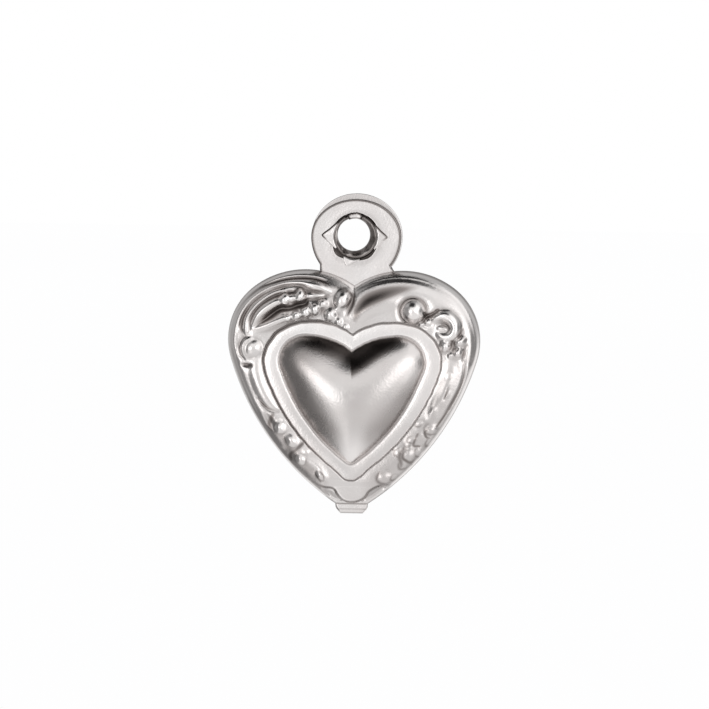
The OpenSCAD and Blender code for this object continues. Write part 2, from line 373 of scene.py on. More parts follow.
def lower_left(r):
    """A crease that runs in from the rim, small bosses, and a hollow leaf above the tip."""
    r.groove((-518, -818, 6, 4), (-472, -897, 8, 8), (-421, -976, 10, 8), (-359, -1055, 10, 8),
             (-298, -1129, 10, 8), (-227, -1203, 9, 6), (-156, -1262, 7, 4))
    r.groove((-430, -890, 12, 8), (-405, -930, 25, 16), (-380, -965, 15, 8))
    # painted shade on the ground between the bosses, darkest in three places
    r.paint_shade((-440, -860, 30, 10), (-400, -920, 42, 50), (-340, -1000, 46, 55), (-280, -1080, 46, 60),
            (-225, -1140, 42, 55), (-175, -1190, 36, 45), (-120, -1230, 20, 10))
    r.paint_shade((-390, -885, 14, 50), (-400, -905, 22, 100), (-408, -940, 20, 105), (-395, -970, 12, 50))
    r.paint_shade((-230, -1020, 10, 40), (-250, -1040, 16, 100), (-275, -1065, 15, 90), (-302, -1086, 17, 110),
            (-300, -1115, 12, 50))
    r.bead(-358, -955, 24, 20, long=30, turn=100)
    r.bead(-336, -916, 17, 12)
    r.bead(-297, -1017, 27, 22, long=36, turn=125)
    r.groove((-330, -1060, 16, 12), (-295, -1095, 16, 12))
    r.bead(-253, -1113, 23, 20, long=28, turn=120)
    r.bead(-225, -1072, 16, 12)
    # the leaf: a raised outline, a hollow with painted shade in it, and a bright drop in it
    r.swell((-212, -1115, 14, 4), (-172, -1135, 16, 9), (-132, -1185, 16, 10), (-122, -1225, 14, 5))
    r.groove((-186, -1155, 12, 3), (-160, -1188, 20, 12), (-138, -1215, 14, 3))
    r.paint_shade((-190, -1150, 10, 40), (-172, -1190, 10, 80), (-150, -1220, 10, 70))
    r.paint_shade((-160, -1162, 8, 30), (-138, -1190, 8, 85), (-134, -1212, 8, 50))
    r.bead(-154, -1192, 12, 30, long=30, turn=-52, floor=-5, ring=0.9)


def right_lobe(r):
    """A broad smooth ribbon, a large boss in a dish, and a curl with small bosses behind it."""
    r.swell((30, -390, 35, 5), (90, -345, 50, 10), (160, -320, 55, 8), (210, -310, 50, 2))
    # a painted dark reflection over the ribbon, darkest near the cleft
    r.paint_shade((10, -410, 20, 50), (24, -365, 36, 110), (65, -320, 50, 150), (120, -292, 50, 150),
            (185, -270, 42, 125), (250, -255, 30, 80), (320, -246, 16, 10))
    r.groove((297, -365, 102, 14), (320, -370, 102, 14), profile="soft")
    r.bead(297, -365, 64, 46, floor=-10)
    r.bead(369, -420, 19, 18, floor=-10)
    r.bead(340, -430, 14, 12, floor=-10)
    r.groove((362, -390, 10, 16), (396, -377, 16, 20), (420, -362, 12, 14))
    r.groove((410, -356, 7, 12), (455, -358, 8, 14), (495, -380, 8, 14), (525, -416, 8, 14),
             (538, -460, 8, 14), (522, -498, 8, 13), (502, -515, 7, 12), (498, -550, 7, 10))
    r.ridge((400, -402, 14, 12), (445, -382, 24, 22), (486, -398, 28, 26), (510, -440, 28, 26),
            (492, -482, 26, 22), (452, -492, 22, 16), (422, -474, 14, 8))
    r.swell((430, -445, 20, 10), (460, -450, 20, 12))
    r.groove((428, -432, 4, 10), (445, -428, 5, 14), (462, -436, 5, 14), (470, -450, 4, 12))
    r.bead(460, -536, 28, 22, long=32, turn=80)
    r.bead(536, -512, 24, 20, long=32, turn=35)
    r.bead(524, -568, 25, 20, long=28, turn=70)
    r.bead(486, -582, 15, 12)
    r.groove((565, -530, 6, 12), (555, -572, 8, 16), (550, -610, 7, 12))


def right_side(r):
    """A smooth panel with a raised edge, inside the rim."""
    r.swell((485, -620, 30, 2), (480, -690, 50, 10), (450, -780, 50, 10), (410, -860, 45, 8),
            (390, -900, 30, 2))
    r.groove((558, -610, 7, 10), (550, -692, 9, 18), (530, -752, 9, 18), (487, -836, 9, 18),
             (427, -927, 8, 14))
    r.ridge((578, -630, 8, 4), (566, -700, 10, 10), (544, -762, 10, 10), (502, -844, 9, 10),
            (445, -930, 6, 5))
    # painted shade in the groove inside the raised edge
    r.paint_shade((560, -600, 6, 20), (552, -692, 8, 90), (532, -752, 8, 100), (489, -836, 8, 100),
            (430, -927, 8, 90), (390, -980, 6, 40))
    r.groove((480, -734, 4, 8), (471, -773, 6, 13), (457, -802, 4, 8))
    r.ridge((486, -745, 5, 5), (479, -775, 8, 13), (468, -800, 5, 6))
    # painted shade dulling the panel, and in its small groove
    r.paint_shade((475, -650, 20, 10), (450, -720, 28, 20), (428, -780, 30, 22), (390, -850, 26, 12),
            (360, -900, 20, 5))
    r.paint_shade((478, -740, 5, 40), (470, -773, 8, 90), (457, -800, 6, 50))
    r.bead(483, -682, 15, 11, long=20, turn=60)
    r.swell((410, -855, 20, 6), (395, -880, 20, 6))


def lower_right(r):
    """Small leaves, ovals and a five-petalled flower down to the tip."""
    r.groove((390, -916, 5, 10), (368, -932, 7, 15), (362, -960, 6, 14), (375, -985, 5, 8))
    # these bosses, and the flower's, get rings of painted shade round their feet
    r.bead(402, -956, 20, 19, long=32, turn=10, ring=0.5)
    r.bead(394, -1008, 15, 17, long=34, turn=55, ring=0.5)
    r.bead(337, -920, 15, 15, long=22, turn=30, ring=0.5)
    r.groove((350, -1020, 7, 10), (362, -1060, 7, 10), (355, -1100, 6, 8))
    # flower
    for k in range(5):
        a = math.radians(72 * k + 20)
        r.bead(290 + 52 * math.cos(a), -1084 + 52 * math.sin(a), 20, 14,
               long=27, turn=math.degrees(a), floor=-2, ring=0.5)
    r.groove((291, -1086, 42, 14), (293, -1086, 42, 14))
    r.bead(290, -1084, 30, 12, floor=2, ring=0.8)
    r.bead(302, -1002, 16, 15, long=24, turn=20, ring=0.5)
    r.bead(235, -1035, 10, 8, long=30, turn=35, ring=0.5)
    r.groove((252, -1072, 6, 13), (270, -1042, 7, 15), (320, -1020, 6, 12))
    r.groove((260, -1120, 6, 12), (248, -1152, 5, 8))
    # last oval and its leaf
    r.bead(170, -1198, 28, 12, long=38, turn=10, ring=0.5)
    r.bead(216, -1192, 12, 10, long=20, turn=40, ring=0.5)
    r.groove((138, -1175, 5, 12), (128, -1210, 6, 13))
    # painted shade in the grooves and round the flower
    r.paint_shade((142, -1165, 6, 40), (134, -1185, 9, 90), (128, -1210, 7, 50))
    r.paint_shade((386, -950, 6, 30), (366, -962, 9, 90), (372, -988, 10, 80), (390, -996, 6, 40))
    r.paint_shade((298, -1030, 10, 30), (262, -1050, 16, 50), (242, -1085, 17, 55), (250, -1125, 15, 50),
            (245, -1150, 8, 20))
    r.paint_shade((330, -975, 10, 50), (310, -1030, 10, 70), (340, -1035, 10, 60))
    r.groove((162, -1162, 5, 10), (185, -1150, 6, 13), (208, -1140, 4, 8))


# The smooth tongue above the tip, whose round end steps down to a flat lip
TONGUE = curve_through([
    (-1.9, -12.2), (-1.42, -12.45), (-0.88, -12.56), (-0.68, -12.88), (-0.42, -13.14), (0.02, -13.24),
    (0.46, -13.14), (0.72, -12.94), (0.94, -12.64), (1.48, -12.34), (1.95, -12.24), (2.5, -12.08),
])
TONGUE_H = 0.98
LIP_H = 0.36

# Where the crease above the rim wall lies across the border, and how far down it goes
RIM_SHARE = 0.15
RIM_STOP = 34


def make_ornament():
    relief = Relief()
    # a fine crease runs round inside the rim wall
    rim = blend(EDGE, STEP, RIM_SHARE)[::12] * relief.FINE
    for half in (rim[:RIM_STOP], rim[len(rim) - RIM_STOP:]):
        relief.groove(*[(x, z, 8, 6) for x, z in half])
    # the tongue's outline is a groove darkened with painted shade, which fades towards both its ends
    line = TONGUE[::3] * relief.FINE
    relief.groove(*[(x, z, 9, 8) for x, z in line if abs(x) < 160])
    relief.paint_shade(*[(x, z, 10, 80 - 60 * smoothstep(110, 180, abs(x))) for x, z in line])
    for part in (left_lobe, cleft_cluster, left_side, lower_left, right_lobe, right_side,
                 lower_right):
        part(relief)
    # where each part lies; the tip's middle line belongs to neither side's ornament
    z, x = relief.z[:, None], relief.x[None]
    low = smoothstep(-8.2, -9.2, z) * smoothstep(-13.0, -12.4, z) * (x * x > 0.01)
    low_right = low * smoothstep(0.2, 1.0, x)
    left_top = smoothstep(-0.9, -1.6, x) * smoothstep(-6.0, -5.0, z)
    cluster = smoothstep(-1.6, -1.2, x) * smoothstep(0.3, 0.1, x) * smoothstep(-8, -4.9, z)
    curl = smoothstep(3.6, 3.9, x) * smoothstep(-8.0, -6.0, z)
    boss = smoothstep(-4.2, -4.5, x) * smoothstep(-4.7, -5.0, z) * smoothstep(-7.6, -7.0, z)
    panel = smoothstep(4.0, 4.4, x) * smoothstep(-6.0, -6.6, z) * smoothstep(-9.4, -8.6, z)
    # highest in the left lobe, lower near the tip and on the right side's panel
    relief.h *= 1.25 + 0.15 * left_top - 0.4 * low - 0.15 * low_right - 0.55 * panel
    sharp = relief.h
    relief.smooth(0.1)
    soft = relief.h
    # softest near the tip, then by the cleft
    mild = 0.9 * low + 0.1 * low_right + 0.7 * cluster + 0.4 * curl + 0.3 * left_top + 0.4 * boss
    relief.h = blend(sharp, soft, np.clip(mild, 0, 1))
    relief.smooth(0.045)
    # painted shade in the creases, stronger near the tip, at the lower right, by the cleft and in the
    # left lobe
    relief.paint_crease_shade(1.1 + 0.3 * low + 1.0 * low_right + 0.4 * cluster + 0.6 * left_top)
    return relief


# ---------------------------------------------------------------- heart relief
SHEET = 0.25
CHANNEL_H = 0.85
DOME_H = 2.1

# The plain border's height at places across it, from the edge, 0, to the step, 1
BORDER = [(0, 0.25), (0.05, 0.41), (0.1, 0.56), (0.16, 0.71), (0.22, 0.83), (0.3, 0.95),
          (0.4, 1.06), (0.5, 1.12), (0.62, 1.16), (0.78, 1.16), (1.0, 1.14)]


def smooth_table(table, x):
    """A smooth curve through a table of (x, y)."""
    xs, ys = np.array(table, float).T
    slope = np.gradient(ys, xs)
    i = np.clip(np.searchsorted(xs, x, side="right") - 1, 0, len(xs) - 2)
    w = xs[i + 1] - xs[i]
    t = (x - xs[i]) / w
    return ((2 * t ** 3 - 3 * t ** 2 + 1) * ys[i] + (t ** 3 - 2 * t ** 2 + t) * w * slope[i]
            + (3 * t ** 2 - 2 * t ** 3) * ys[i + 1] + (t ** 3 - t ** 2) * w * slope[i + 1])


def closeness(points, line):
    """How far inside a line points are, as a smooth pillow: about the distance near the line."""
    fine = np.concatenate([line, line[:1]])
    steps = 6
    t = (np.arange(steps) / steps)[:, None, None]
    dense = (fine[:-1] * (1 - t) + fine[1:] * t).transpose(1, 0, 2).reshape(-1, 2)
    length = np.hypot(*(np.roll(dense, -1, 0) - dense).T)
    out = np.empty(len(points))
    batch = 2000
    for k in range(0, len(points), batch):
        d = points[k:k + batch, None, :] - dense[None]
        out[k:k + batch] = np.pi / (length / np.maximum((d ** 2).sum(2), 1e-8)).sum(1)
    return out


def dist_to_path(points, path):
    best = np.full(len(points), 9.0)
    for a, b in zip(path, path[1:]):
        d = b - a
        t = np.clip(((points - a) @ d) / (d @ d), 0, 1)
        best = np.minimum(best, np.hypot(*(points - a - t[:, None] * d).T))
    return best


def inside(points, polygon):
    hit = np.zeros(len(points), bool)
    for (x0, z0), (x1, z1) in zip(polygon, np.roll(polygon, -1, 0)):
        crosses = (z0 > points[:, 1]) != (z1 > points[:, 1])
        hit ^= crosses & (points[:, 0] < (x1 - x0) * (points[:, 1] - z0) / (z1 - z0 + 1e-12) + x0)
    return hit


def tip_heights(points, heights):
    """Bends the border's heights to the tongue and the lip, which runs further up on the right."""
    area = np.concatenate([TONGUE, [[2.5, -11.5], [-1.9, -11.5]]])
    side = np.where(inside(points, area), 1, -1) * dist_to_path(points, TONGUE)
    step = smoothstep(-0.07, 0.05, side)
    x = points[:, 0]
    x_off = np.where(x > 0, 0.65 * x, -x)
    tongue = TONGUE_H - 0.10 * smoothstep(-12.3, -13.2, points[:, 1])
    edge_d = dist_to_path(points, np.concatenate([EDGE, EDGE[:1]]))
    lip = SHEET + (LIP_H - SHEET) * smoothstep(0, 0.12, edge_d) + 0.35 * smoothstep(0.2, 0.5, edge_d)
    tongue = blend(tongue, np.minimum(tongue, heights), smoothstep(1.0, 1.3, np.abs(x)))
    flat = lip + (tongue - lip) * step
    near = smoothstep(-12.05, -12.5, points[:, 1]) * (1 - smoothstep(1.0, 1.5, x_off))
    return heights * (1 - near) + flat * near


class Skin:
    """Collects rings of points and the faces between them."""

    def __init__(self):
        self.points, self.shades, self.faces, self.count = [], [], [], 0

    def ring(self, x, y, z, shade=0.1):
        """Adds a row of points, with their painted shade: 0 is bright, 1 dull and 2 nearly black."""
        points = np.stack(np.broadcast_arrays(x, y, z), axis=1)
        self.points.append(points)
        self.shades.append(np.broadcast_to(np.asarray(shade, float), len(points)))
        start, self.count = self.count, self.count + len(points)
        return np.arange(start, self.count)

    def join(self, a, b):
        """Faces from ring a to the next ring, b, of the same, half or twice the length."""
        if len(a) < len(b):
            turned = Skin()
            turned.join(b, a)
            self.faces += [face[::-1] for face in turned.faces]
        elif len(a) == len(b):
            self.faces += np.stack([a, b, np.roll(b, -1), np.roll(a, -1)], axis=1).tolist()
        else:
            even, odd, after = a[0::2], a[1::2], np.roll(a, -1)[1::2]
            self.faces += np.stack([even, b, odd], axis=1).tolist()
            self.faces += np.stack([odd, b, np.roll(b, -1), after], axis=1).tolist()

    def close(self, ring, point, opening=False):
        """Triangles to a ring of one point, from the last ring, or from the first if opening."""
        tip = np.broadcast_to(point, len(ring))
        order = [tip, ring, np.roll(ring, -1)] if opening else [ring, tip, np.roll(ring, -1)]
        self.faces += np.stack(order, axis=1).tolist()

    def object(self, name):
        mesh = bpy.data.meshes.new(name)
        points = np.concatenate(self.points) * MM
        mesh.from_pydata(points.tolist(), [], self.faces)
        layer = mesh.attributes.new("shade", "FLOAT", "POINT")
        layer.data.foreach_set("value", np.concatenate(self.shades).astype(np.float32))
        mesh.polygons.foreach_set("use_smooth", [True] * len(mesh.polygons))
        obj = bpy.data.objects.new(name, mesh)
        bpy.context.collection.objects.link(obj)
        return obj


def on_left():
    """1 along the left side and its lobe, where the channel's shoulder is broad, fading to 0."""
    i = np.arange(AROUND) / AROUND
    return smoothstep(0.57, 0.66, i) * (1 - smoothstep(0.92, 0.965, i))


def border_rings(relief):
    """Rings of (x, z) points, heights and shades over the border, from the edge to the channel."""
    left = on_left()
    shoulder = 0.065 + 0.035 * left
    depth = 0.12 + 0.05 * left
    spread = 1 - 0.75 * shoulder
    rings = []
    for u in np.concatenate([np.linspace(0, 0.3, 17), np.linspace(0.3, 1, 33)[1:]]):
        at = blend(EDGE, STEP, (u * spread)[:, None])
        plain = smooth_table(BORDER, np.full(AROUND, u + 1.3 * u * (1 - u) ** 4))
        fade = smoothstep(0.03, 0.14, u)
        h = tip_heights(at, plain)
        # a satin border with painted shade over it, darker at the lower right and on the lower left wall
        # and lighter on the ornament's heights, and a painted dark line along the edge
        x, z = at.T
        satin_and_shade = 0.28 + 0.2 * smoothstep(0.3, 1.5, x) * smoothstep(-6.5, -8.5, z)
        satin_and_shade = satin_and_shade * (1 - 0.8 * smoothstep(0.1, 0.3, relief.at(at)))
        lower_wall = smoothstep(-0.6, -1.6, x) * smoothstep(-7.8, -9.0, z)
        satin_and_shade = satin_and_shade + 0.3 * lower_wall * (1 - smoothstep(0.2, 0.45, u))
        edge_line = 0.8 * (1 - smoothstep(0.01, 0.045, u))
        shade = satin_and_shade * fade + edge_line + relief.at(at, relief.hollow) * fade
        rings.append((at, h + relief.at(at) * fade, shade))
    top = rings[-1][1]
    # down into a narrow groove, then up its other side to the channel, with painted shade darkest at the
    # groove's bottom and a little more on the left
    for t, down, up, dark in ((0.12, 0.2, 0, 0.2), (0.25, 0.65, 0, 0.5), (0.38, 1.0, 0, 0.9),
                              (0.52, 1.0, 0.12, 0.95), (0.72, 1.0, 0.4, 0.8), (0.92, 1.0, 0.72, 0.6),
                              (1.12, 1.0, 0.93, 0.3), (1.3, 1.0, 1.0, 0.1)):
        at = blend(EDGE, STEP, (spread + (1 - spread) * t)[:, None])
        floor = CHANNEL_H - depth * (1 - up)
        rings.append((at, blend(top, floor, down), dark * (0.7 + 0.3 * left)))
    return rings


def channel_rings(start):
    rings = []
    for t in (0.06, 0.15, 0.3, 0.45, 0.6, 0.75, 0.88, 0.95, 1.0):
        at = blend(start, DOME, t)
        sag = 0.02 * smoothstep(0.9, 1.0, t) - 0.02 * math.sin(math.pi * t)
        # painted shade: a dark line at the dome's foot, and darker towards the bottom
        shade = 0.5 * smoothstep(0.9, 1, t) + 0.28 * smoothstep(-6.5, -10.0, at[:, 1])
        rings.append((at, np.full(AROUND, CHANNEL_H - sag), shade))
    return rings


DOME_CENTRE = np.array([-0.04, -7.4])
DOME_FULLNESS = 0.74
DOME_DULL_AND_SHADE = 0.42


def dome_painted_shade(at, s):
    """How dull the puffed heart is.

    Painted dark reflections lie on both sides of its cleft, painted shade darkens its left and
    lower right flanks and its foot, and over its middle a duller finish and a painted dark
    reflection fade out towards its tip, which is brightest.
    """
    x, z = at.T
    line = blend(-6.3 - 0.42 * x, -6.85 + 0.7 * x, smoothstep(-0.1, 0.04, x))
    cleft = smoothstep(-0.3, 0.35, z - line) * smoothstep(2.8, 1.9, np.abs(x))
    flank = (1 - smoothstep(0.25, 0.6, s)) * smoothstep(0.2, -1.0, x)
    lower_right = smoothstep(0.2, 1.0, x) * smoothstep(-6.6, -8.0, z)
    flank = flank + (1 - smoothstep(0.12, 0.5, s)) * lower_right
    tip = smoothstep(-11.0, -9.3, z)
    foot = 1 - smoothstep(0, 0.016, s)
    rise = smoothstep(0, 0.06, s)
    return DOME_DULL_AND_SHADE * tip + 0.5 * foot + (1.45 * cleft + 0.4 * flank * (1 - cleft)) * rise


def dome_rings():
    """Rings over the puffed heart. Every few rings the points halve, towards the centre."""
    shares = np.concatenate([[0.008, 0.018, 0.03, 0.045, 0.062], np.linspace(0.085, 0.97, 34)])
    rings, line = [], DOME
    peak = max(closeness(blend(DOME, DOME_CENTRE, s), DOME).max() for s in (0.6, 0.8, 0.95))

    def height(at, s):
        rise = np.clip(closeness(at, DOME) / peak, 0, 1) ** DOME_FULLNESS
        foot = smoothstep(0, 0.03, s) * 0.02 - 0.02
        return CHANNEL_H + foot + (DOME_H - CHANNEL_H) * rise

    for s in shares:
        if s > 0.3 and len(line) == AROUND or s > 0.62 and len(line) == HALF \
                or s > 0.82 and len(line) == HALF // 2:
            line = line[::2]
        at = blend(line, DOME_CENTRE, s)
        rings.append((at, height(at, s), dome_painted_shade(at, s)))
    rings.append((DOME_CENTRE[None], height(DOME_CENTRE[None], 1), [DOME_DULL_AND_SHADE]))
    return rings


def inner_rings():
    """The hidden inside of the sheet, a sheet's thickness below the outside, then its foot."""
    quarter = slice(None, None, 4)
    e, s, d = EDGE[quarter], STEP[quarter], DOME[quarter]
    rows = [(blend(d, DOME_CENTRE, t), CHANNEL_H - SHEET + (DOME_H - CHANNEL_H) * h)
            for t, h in ((0.9, 0.98), (0.7, 0.9), (0.5, 0.76), (0.33, 0.58), (0.2, 0.36), (0.1, 0.14))]
    rows += [(blend(s, d, 1.0), CHANNEL_H - SHEET), (blend(s, d, 0.05), CHANNEL_H - SHEET)]
    rows += [(blend(e, s, u), h)
             for u, h in ((0.86, 0.78), (0.6, 0.8), (0.42, 0.72), (0.3, 0.55), (0.18, 0.25))]
    rows += [(blend(e, s, 0.16), 0.0)]
    rows += [(blend(EDGE, STEP, 0.1)[::2], 0.0)]
    return rows


def make_shell(name, relief):
    """One drawn half of the heart: its ornamented outside, cut edge and inside."""
    skin = Skin()

    def put(at, h, shade=0.4):
        return skin.ring(at[:, 0], -h, at[:, 1], shade)

    # painted shade: a dark outline along the cut edge, and some over the hidden inside
    rings = [(EDGE, 0.0, 0.6), (EDGE, 0.12, 0.6)]
    rings += border_rings(relief)
    rings += channel_rings(rings[-1][0])
    rings += dome_rings()
    *rows, peak = [put(*ring) for ring in rings]
    for a, b in zip(rows, rows[1:]):
        skin.join(a, b)
    skin.close(rows[-1], peak)
    inner = [put(*ring) for ring in inner_rings()]
    for a, b in zip(inner, inner[1:] + rows[:1]):
        skin.join(a, b)
    skin.close(inner[0], put(DOME_CENTRE[None], DOME_H - SHEET), opening=True)
    return skin.object(name)


# ---------------------------------------------------------------- ring tab
LEAF_ANGLES = 2 * math.pi * np.arange(480) / 480
RAYS = np.stack([np.cos(LEAF_ANGLES), np.sin(LEAF_ANGLES)], axis=1)
# the point in the neck that sees the whole outline of a leaf
NECK = np.array([0.0, -1.3])


def in_leaf(x, z, wide, tall, x_off):
    """Whether points are on a ring tab's leaf: an oval, its neck and the corners under the neck."""
    oval = ((x - x_off) / wide) ** 2 + (z / np.where(z > 0, tall, 2.32)) ** 2 < 1
    side = np.abs(x)
    neck = (side < 1.75) & (z < 0)
    corner = (x > 0) & (x < 2.14) & (z < -1.32) & (np.hypot(x - 2.14, z + 1.32) > 0.39)
    return oval | neck | corner


def leaf_outline(wide, tall, x_off):
    """How far a leaf reaches from its neck along each ray, and how surely it's under the heart."""
    r = np.arange(0.8, 4.0, 0.004)
    x, z = NECK[0] + np.outer(r, RAYS[:, 0]), NECK[1] + np.outer(r, RAYS[:, 1])
    out = ~in_leaf(x, z, wide, tall, x_off)
    heart = inside(np.stack([x.ravel(), z.ravel()], 1), EDGE[::4]).reshape(x.shape)
    first_out = np.where(out.any(0), out.argmax(0), len(r) - 1)
    first_heart = np.where(heart.any(0), heart.argmax(0), 9999)
    at_heart = first_heart < first_out
    reach = np.where(at_heart, r[np.minimum(first_heart, len(r) - 1)], r[first_out])
    # 0 outside the heart, rising to 1 a few rays into the part that goes under its edge
    under = at_heart.astype(float)
    for _ in range(12):
        under = (np.roll(under, 1) + 2 * under + np.roll(under, -1)) / 4
    under = np.clip(2 * under - 1, 0, 1)
    for _ in range(3):
        reach = (np.roll(reach, 1) + 2 * reach + np.roll(reach, -1)) / 4
    return reach + 0.1 * under, under


def make_leaf(name, front_y, wide, tall, x_off, opening, roll, shades):
    """A flat leaf with rolled edges, a sheet thick, its front at y = front_y."""
    skin = Skin()
    # painted shade: over the face, as a dark outline along the rim, and round the hole
    face_shade, rim_shade, hole_shade = shades
    reach, under = leaf_outline(wide, tall, x_off)
    e = blend(roll, 0.004, under)
    hole = opening[:, None] * RAYS
    rim = NECK + (reach - e)[:, None] * RAYS

    def put(points, y, shade=0.1):
        return skin.ring(points[:, 0], y, points[:, 1], shade)

    back_y = front_y + SHEET
    # the hole's wall is darkened with painted shade
    rows = [
        put(hole, back_y - 0.02, 1.6),
        put(hole, front_y + 0.06, 1.6),
        put(hole + 0.01 * RAYS, front_y + 0.02, 1.2),
        put(hole + 0.04 * RAYS, front_y + 0.003, hole_shade),
    ]
    # the rim's painted shade: its dark outline, and a lighter painted crease line where the leaf meets
    # the heart's edge
    meets = blend(rim_shade, 0.5, under)
    for t in (0.02, 0.12, 0.3, 0.5, 0.68, 0.82, 0.9, 0.96, 1.0):
        # the sheet isn't dead flat: it dips a little round the hole
        flat = blend(hole + 0.05 * RAYS, rim, t)
        dip = 0.012 * np.exp(-((np.hypot(*flat.T) - 1.6) / 0.3) ** 2)
        shade = blend(face_shade, meets, smoothstep(0.94, 1.0, t)) + hole_shade * (t < 0.2)
        rows.append(put(flat, front_y + dip, shade))
    for a, share in ((25, 0.5), (50, 0.9), (70, 1.0), (90, 1.0)):
        a = math.radians(a)
        edge = rim + (e * math.sin(a))[:, None] * RAYS
        rows.append(put(edge, front_y + e - e * math.cos(a), np.maximum(meets * share, 0.1)))
    for a in (90, 60, 30, 0):
        a = math.radians(a)
        k = 0.5 * e
        edge = rim + (e - k + k * math.sin(a))[:, None] * RAYS
        rows.append(put(edge, back_y - k + k * math.cos(a), meets))
    rows.append(put(hole + 0.02 * RAYS, back_y))
    for a, b in zip(rows, rows[1:] + rows[:1]):
        skin.join(b, a)
    return skin.object(name)


def make_collar(name):
    """The collar drawn through both leaves: a funnel, a little askew, narrowing to the back."""
    skin = Skin()
    rng = np.random.default_rng(5)
    n = 180
    angles = -2 * math.pi * np.arange(n) / n
    c, s = np.cos(angles), np.sin(angles)
    crumple = sum(rng.normal(0, 1 / k) * np.sin(k * angles + rng.uniform(0, 6)) for k in range(3, 15))
    # the shade column is painted shade, darkest deep in the mouth
    profile = [  # radius, y, how far askew, how crumpled, shade
        (1.05, 0.12, 0.1, 0, 0.5), (1.05, 0.2, 0.3, 0, 0.4), (1.0, 0.24, 0.5, 0, 0.3),
        (0.9, 0.25, 0.9, 0, 0.2), (0.84, 0.245, 1.0, 0, 0.4), (0.815, 0.22, 1.0, 0, 0.8),
        (0.81, 0.16, 1.0, 0.1, 1.0), (0.82, 0.1, 0.9, 0.4, 1.0), (0.845, 0.03, 0.7, 0.7, 1.1),
        (0.875, -0.04, 0.5, 1.0, 1.1), (0.905, -0.1, 0.3, 1.4, 1.0), (0.94, -0.135, 0.2, 1.4, 1.1),
        (0.98, -0.155, 0.1, 1.2, 1.0), (1.02, -0.16, 0.05, 1, 1.3), (1.06, -0.15, 0, 1, 1.6),
        (1.1, -0.12, 0, 0.6, 1.8), (1.12, -0.05, 0, 0.2, 1.8), (1.08, 0.02, 0, 0, 1.8),
    ]
    rows = []
    for r, y, askew, rough, shade in profile:
        # between the petals the torn mouth stands lower
        torn = 0.07 * np.abs(np.sin(2 * angles)) * rough
        ring_r = r * (1 + 0.03 * rough * crumple)
        depth = np.clip(y + 0.08 * rough * crumple + torn, -0.24, 0.25)
        # painted shade follows the crumples
        shade = np.clip(shade + 0.5 * rough * crumple, 0, 2)
        x, z = ring_r * c - 0.1 * askew, ring_r * s + 0.1 * askew
        rows.append(skin.ring(x, depth, z, shade))
    for a, b in zip(rows, rows[1:] + rows[:1]):
        skin.join(b, a)
    return skin.object(name)


def make_petal(name, direction, reach, right_deg, left_deg, lean, inner, seed):
    """A torn petal of the collar, rolled over its mouth and pressed down on the front leaf."""
    rng = np.random.default_rng(seed)
    across, out = 61, 36
    right, left, lean = math.radians(-right_deg), math.radians(left_deg), math.radians(lean)
    root, thick = 1.16, 0.1
    tip = reach * along(lean)
    foot = [root * along(right), root * along(left)]
    phi = np.linspace(right, left, across)
    limit = np.empty(across)
    for k, a in enumerate(phi):
        d = foot[int(a >= lean)] - tip
        normal = np.array([-d[1], d[0]])
        limit[k] = (normal @ tip) / (normal @ along(a))
    blunt = (reach - 0.02) / np.cos(phi - lean)
    limit = (limit ** -40.0 + blunt ** -40.0) ** (-1 / 40)
    ragged = np.interp(np.arange(across), np.linspace(0, across - 1, 13), rng.normal(0, 0.014, 13))
    limit = np.maximum(limit + ragged, root - 0.02)
    t = np.concatenate([np.linspace(0, 0.85, out - 10)[:-1], np.linspace(0.85, 1, 11)])
    r = inner + (limit[None] - inner) * t[:, None]
    line = limit[:, None] * np.stack([np.cos(phi), np.sin(phi)], 1)
    line = np.concatenate([[inner * along(right)], line, [inner * along(left)]])
    flat = np.stack([r * np.cos(phi), r * np.sin(phi)], 2)
    off = dist_to_path(flat.reshape(-1, 2), line).reshape(r.shape)
    roll = np.clip((r - inner) / 0.12, 0, 1)
    over = np.sqrt(np.clip(1 - (1 - roll) ** 2, 0, 1))
    edge = np.sqrt(np.clip(1 - (1 - np.clip(off / 0.1, 0, 1)) ** 2, 0, 1))
    lift = 0.03 * rng.uniform(0.5, 1.3) * np.sin(3 * phi + rng.uniform(0, 6))[None] * (1 - t[:, None])
    turn = math.radians(direction)
    c, s = math.cos(turn), math.sin(turn)
    x, z = flat[..., 0] * c - flat[..., 1] * s, flat[..., 0] * s + flat[..., 1] * c
    # the lower edges are pressed flatter, and a painted dark line runs along the upper ones;
    # painted shade also darkens the root, where it rolls over the mouth, and the underside
    upper = smoothstep(-0.25, 0.15, z)
    y = -0.14 - (0.11 + (thick * (0.45 + 0.55 * upper) + lift) * edge) * over
    shade = (0.1 + 1.7 * upper) * np.clip(1.5 - off / 0.08, 0, 1) + 0.12 + 0.8 * (1 - roll) ** 2
    below = np.maximum(-0.235, y + 0.03) + 0.1 * (1 - over)
    skin = Skin()
    top = [skin.ring(*row) for row in zip(x, y, z, shade)]
    low = [skin.ring(*row, 0.8) for row in zip(x, below, z)]

    def wall(a, b, p, q):
        skin.faces += np.stack([a, b, q, p], 1).tolist()

    for a, b, p, q in zip(top, top[1:], low, low[1:]):
        skin.faces += np.stack([a[:-1], a[1:], b[1:], b[:-1]], 1).tolist()
        skin.faces += np.stack([p[1:], p[:-1], q[:-1], q[1:]], 1).tolist()
        wall(a[:1], b[:1], p[:1], q[:1])
        wall(b[-1:], a[-1:], q[-1:], p[-1:])
    wall(top[-1][:-1], top[-1][1:], low[-1][:-1], low[-1][1:])
    wall(top[0][1:], top[0][:-1], low[0][1:], low[0][:-1])
    return skin.object(name)


